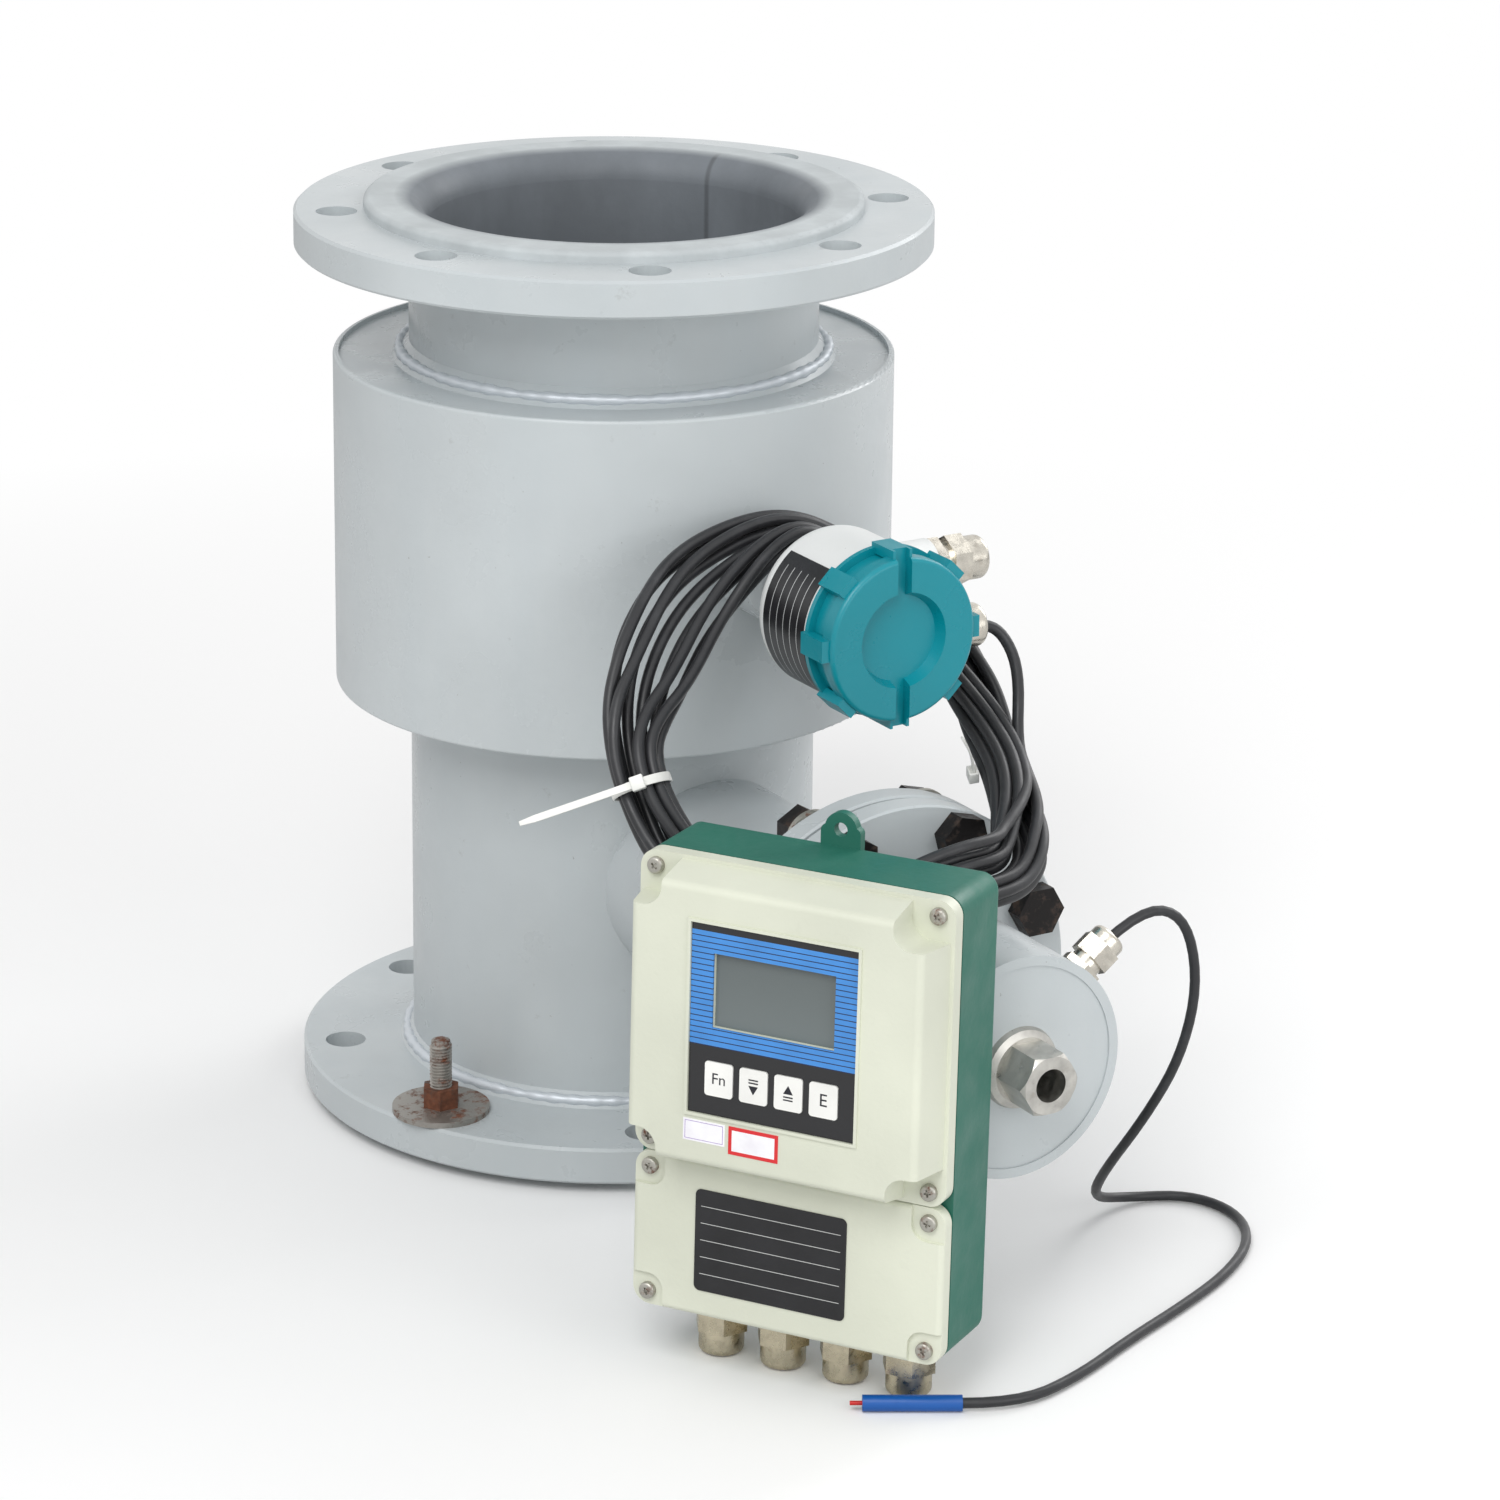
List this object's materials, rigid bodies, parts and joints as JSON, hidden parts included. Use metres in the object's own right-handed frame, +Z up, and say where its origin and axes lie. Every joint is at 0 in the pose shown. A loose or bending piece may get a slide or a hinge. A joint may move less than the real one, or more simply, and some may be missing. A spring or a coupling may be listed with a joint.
{
  "type": "electromagnetic flow meter",
  "caption": "Flanged pipe section with a coil housing, junction box, side level branch and a separate transmitter leaning on it; measures flow in partly filled pipes.",
  "frame": {"origin": "centre of the lower liner face, on the floor", "axes": "+Z up along the measuring tube; -Y towards the junction box and the level branch; +X to the side of the junction box's glands"},
  "size_m": [0.3727, 0.6387, 0.5],
  "materials": {
    "grey_paint": "gloss paint",
    "black_rubber": "satin",
    "soft_iron": "machined",
    "copper": null,
    "stainless": "satin",
    "insulator": "matte",
    "junction_white": "white paint on cast aluminium",
    "teal_cover": "teal paint on cast aluminium",
    "orange_rubber": "satin",
    "lead_red": "insulated wire",
    "nickel_brass": "nickel plated",
    "brass": "dull plated brass",
    "dark_bolts": "black oxide",
    "zinc": "zinc plated",
    "rusty_steel": "rusted",
    "green_casting": "green paint on cast aluminium",
    "pale_cover": "pale paint on cast aluminium",
    "blue_overlay": "printed film on a carrier",
    "white_key": "satin",
    "display_grey": "display",
    "circuit_green": "circuit board",
    "black_plate": "printed plate",
    "white_plastic": "satin",
    "blue_sleeve": "heat-shrink"
  },
  "bodies": {
    "meter": {"branch_bolts": "dark_bolts", "branch_gasket": "black_rubber", "branch_nuts": "zinc", "branch_washers": "zinc", "cable_sleeve": "blue_sleeve", "cable_ties": "white_plastic", "circuit_boards": "circuit_green", "coil_housing_shell": "grey_paint", "conductor_tip": "lead_red", "cover_gaskets": "black_rubber", "cover_screws": "zinc", "cover_stickers": "white_plastic", "display_module": "display_grey", "electrode_bushes": "insulator", "electrode_nuts": "stainless", "field_coils": "copper", "flange_stud": "rusty_steel", "hex_coupling": "stainless", "housing_end_plates": "grey_paint", "junction_box_body": "junction_white", "junction_gland_bodies": "nickel_brass", "junction_gland_nuts": "nickel_brass", "junction_neck": "grey_paint", "junction_side_label": "black_plate", "junction_terminal_block": "insulator", "lead_wires": "lead_red", "level_cable": "black_rubber", "level_end_plate": "grey_paint", "level_flange": "grey_paint", "level_gland_body": "nickel_brass", "level_gland_nut": "nickel_brass", "level_housing_tube": "grey_paint", "level_sensor": "stainless", "level_stub_pipe": "grey_paint", "lower_flange": "grey_paint", "magnetic_yoke": "soft_iron", "measuring_electrodes": "stainless", "measuring_tube": "grey_paint", "nameplate": "black_plate", "panel_overlay": "blue_overlay", "pole_cores": "soft_iron", "rubber_liner": "black_rubber", "sensor_cable_coil": "black_rubber", "sensor_cable_lead": "black_rubber", "stub_flange": "grey_paint", "stud_nut": "rusty_steel", "stud_washer": "rusty_steel", "terminal_strip": "insulator", "transmitter_back_box": "green_casting", "transmitter_gland_bodies": "brass", "transmitter_gland_nuts": "brass", "transmitter_lower_cover": "pale_cover", "transmitter_upper_cover": "pale_cover", "upper_flange": "grey_paint"},
    "key_function": {"key_function": "white_key"},
    "key_down": {"key_down": "white_key"},
    "key_up": {"key_up": "white_key"},
    "key_enter": {"key_enter": "white_key"},
    "seal_ring": {"cover_seal": "orange_rubber"},
    "screw_cover": {"junction_cover": "teal_cover"}
  },
  "joints": [
    {"name": "key_function_press", "type": "slide", "parent": "meter", "child": "key_function", "axis": [0.8382, 0.5443, -0.0349], "range_m": [0, 0.0005], "stiffness_N_per_m": 3000},
    {"name": "key_down_press", "type": "slide", "parent": "meter", "child": "key_down", "axis": [0.8382, 0.5443, -0.0349], "range_m": [0, 0.0005], "stiffness_N_per_m": 3000},
    {"name": "key_up_press", "type": "slide", "parent": "meter", "child": "key_up", "axis": [0.8382, 0.5443, -0.0349], "range_m": [0, 0.0005], "stiffness_N_per_m": 3000},
    {"name": "key_enter_press", "type": "slide", "parent": "meter", "child": "key_enter", "axis": [0.8382, 0.5443, -0.0349], "range_m": [0, 0.0005], "stiffness_N_per_m": 3000},
    {"name": "cover_travel", "type": "slide", "parent": "meter", "child": "seal_ring", "axis": [0, -1, 0], "range_m": [0, 0.012]},
    {"name": "cover_turn", "type": "hinge", "parent": "seal_ring", "child": "screw_cover", "pos_m": [0, -0.27, 0.333], "axis": [0, -1, 0], "range_deg": [0, 2160]}
  ],
  "couplings": [
    {"joint": "cover_travel", "follows": "cover_turn", "m_per_rad": 0.00031831}
  ]
}
